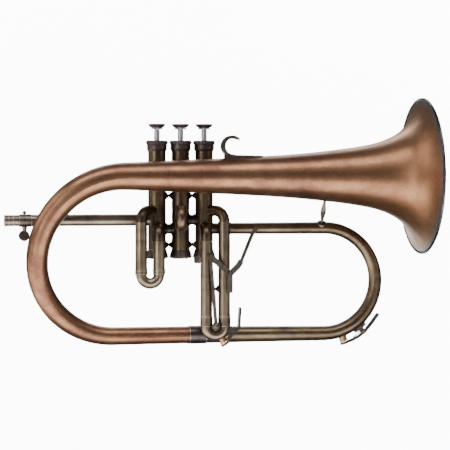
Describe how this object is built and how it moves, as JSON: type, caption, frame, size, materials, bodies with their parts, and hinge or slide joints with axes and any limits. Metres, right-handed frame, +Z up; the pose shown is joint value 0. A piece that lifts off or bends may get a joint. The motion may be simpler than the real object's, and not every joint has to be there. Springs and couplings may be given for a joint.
{
  "type": "flugelhorn",
  "caption": "Piston-valve flugelhorn with a wide flared bell, sliding mouthpipe, a trigger on one valve slide, water keys and a finger hook.",
  "frame": {"origin": "centre of the mouth of the mouthpiece socket, at the back end of the tuning shank", "axes": "+X along the bell axis towards the bell's mouth, +Z up towards the valve buttons, -Y towards the side the bell is offset to"},
  "size_m": [0.4052, 0.153, 0.2441],
  "materials": {
    "bell_copper": "satin antique copper",
    "ferrule_bronze": "dark bronze",
    "cap_gunmetal": "dark gunmetal, satin",
    "stem_nickel": "bright nickel",
    "piston_nickel": "satin nickel",
    "spring_steel": "spring steel wire",
    "guide_nylon": "white nylon",
    "key_cork": "natural cork",
    "fitting_brass": "dark antique brass",
    "casing_brass": "satin olive brass",
    "tube_brass": "satin antique brass"
  },
  "bodies": {
    "horn": {"bell": "bell_copper", "bell_rim": "bell_copper", "bell_ferrule": "ferrule_bronze", "lower_branch": "tube_brass", "front_bow": "tube_brass", "upper_branch": "tube_brass", "leadpipe": "tube_brass", "leadpipe_clamp": "fitting_brass", "valve_casing_1": "casing_brass", "valve_casing_2": "casing_brass", "valve_casing_3": "casing_brass", "top_cap_1": "cap_gunmetal", "top_cap_2": "cap_gunmetal", "top_cap_3": "cap_gunmetal", "bottom_cap_1": "cap_gunmetal", "bottom_cap_2": "cap_gunmetal", "bottom_cap_3": "cap_gunmetal", "crossover_tubes": "tube_brass", "turned_stays": "cap_gunmetal", "slide_knuckles": "tube_brass", "slide_1_outer_legs": "tube_brass", "slide_2_outer_legs": "tube_brass", "slide_3_outer_legs": "tube_brass", "trigger_bracket": "fitting_brass", "hinge_screws": "fitting_brass", "front_drain_nipple": "tube_brass", "front_key_saddle": "fitting_brass", "bell_brace": "fitting_brass", "finger_hook": "fitting_brass", "bell_stays": "fitting_brass", "valve_guides": "guide_nylon"},
    "tuning_shank": {"tuning_shank": "tube_brass"},
    "clamp_screw": {"clamp_screw": "fitting_brass"},
    "slide_1": {"slide_1_bow": "tube_brass", "slide_1_inner_legs": "tube_brass"},
    "slide_2": {"slide_2_bow": "tube_brass", "slide_2_inner_legs": "tube_brass"},
    "slide_3": {"slide_3_bow": "tube_brass", "slide_3_inner_legs": "tube_brass", "slide_key_saddle": "fitting_brass", "slide_key_nipple": "tube_brass", "rod_stud": "fitting_brass"},
    "trigger_lever": {"trigger_lever": "fitting_brass"},
    "trigger_rod": {"trigger_rod": "fitting_brass"},
    "front_key": {"front_key_lever": "fitting_brass", "front_key_cork": "key_cork"},
    "slide_key": {"slide_key_lever": "fitting_brass", "slide_key_cork": "key_cork"},
    "valve_1": {"piston_1": "piston_nickel", "stem_1": "stem_nickel", "button_1": "cap_gunmetal", "spring_1": "spring_steel"},
    "valve_2": {"piston_2": "piston_nickel", "stem_2": "stem_nickel", "button_2": "cap_gunmetal", "spring_2": "spring_steel"},
    "valve_3": {"piston_3": "piston_nickel", "stem_3": "stem_nickel", "button_3": "cap_gunmetal", "spring_3": "spring_steel"}
  },
  "joints": [
    {"name": "valve_1_press", "type": "slide", "parent": "horn", "child": "valve_1", "axis": [0, 0, -1], "range_m": [0, 0.012], "stiffness_N_per_m": 80, "springref_m": -0.03, "deforming": ["spring_1"]},
    {"name": "valve_2_press", "type": "slide", "parent": "horn", "child": "valve_2", "axis": [0, 0, -1], "range_m": [0, 0.012], "stiffness_N_per_m": 80, "springref_m": -0.03, "deforming": ["spring_2"]},
    {"name": "valve_3_press", "type": "slide", "parent": "horn", "child": "valve_3", "axis": [0, 0, -1], "range_m": [0, 0.012], "stiffness_N_per_m": 80, "springref_m": -0.03, "deforming": ["spring_3"]},
    {"name": "slide_1_pull", "type": "slide", "parent": "horn", "child": "slide_1", "axis": [0, 0, -1], "range_m": [0, 0.02]},
    {"name": "slide_2_pull", "type": "slide", "parent": "horn", "child": "slide_2", "axis": [-0.1219, -0.9925, 0], "range_m": [0, 0.006]},
    {"name": "slide_3_pull", "type": "slide", "parent": "horn", "child": "slide_3", "axis": [0, 0, -1], "range_m": [0, 0.01], "stiffness_N_per_m": 60, "springref_m": -0.02},
    {"name": "trigger_pivot", "type": "hinge", "parent": "horn", "child": "trigger_lever", "pos_m": [0.21435, -0.0272, -0.0515], "axis": [0, -1, 0], "range_deg": [0, 25.93]},
    {"name": "rod_pin", "type": "hinge", "parent": "trigger_lever", "child": "trigger_rod", "pos_m": [0.1953, -0.0249, -0.0349], "axis": [0, -1, 0], "range_deg": [-21.46, 0]},
    {"name": "tuning_shank_pull", "type": "slide", "parent": "horn", "child": "tuning_shank", "axis": [-1, 0, 0], "range_m": [0, 0.025]},
    {"name": "clamp_screw_turn", "type": "hinge", "parent": "horn", "child": "clamp_screw", "pos_m": [0.0199, 0.0082, 0], "axis": [0, 0, 1], "range_deg": [-90, 90]},
    {"name": "front_key_press", "type": "hinge", "parent": "horn", "child": "front_key", "pos_m": [0.3531, 0, -0.112], "axis": [0, -1, 0], "range_deg": [0, 8], "stiffness_Nm_per_rad": 0.1, "springref_deg": -17.19},
    {"name": "slide_key_press", "type": "hinge", "parent": "slide_3", "child": "slide_key", "pos_m": [0.2203, -0.018, -0.1076], "axis": [0, -1, 0], "range_deg": [0, 14], "stiffness_Nm_per_rad": 0.05, "springref_deg": -17.19}
  ],
  "couplings": [
    {"joint": "trigger_pivot", "follows": "slide_3_pull", "rad_per_m": 45.26},
    {"joint": "rod_pin", "follows": "slide_3_pull", "rad_per_m": -37.46}
  ]
}
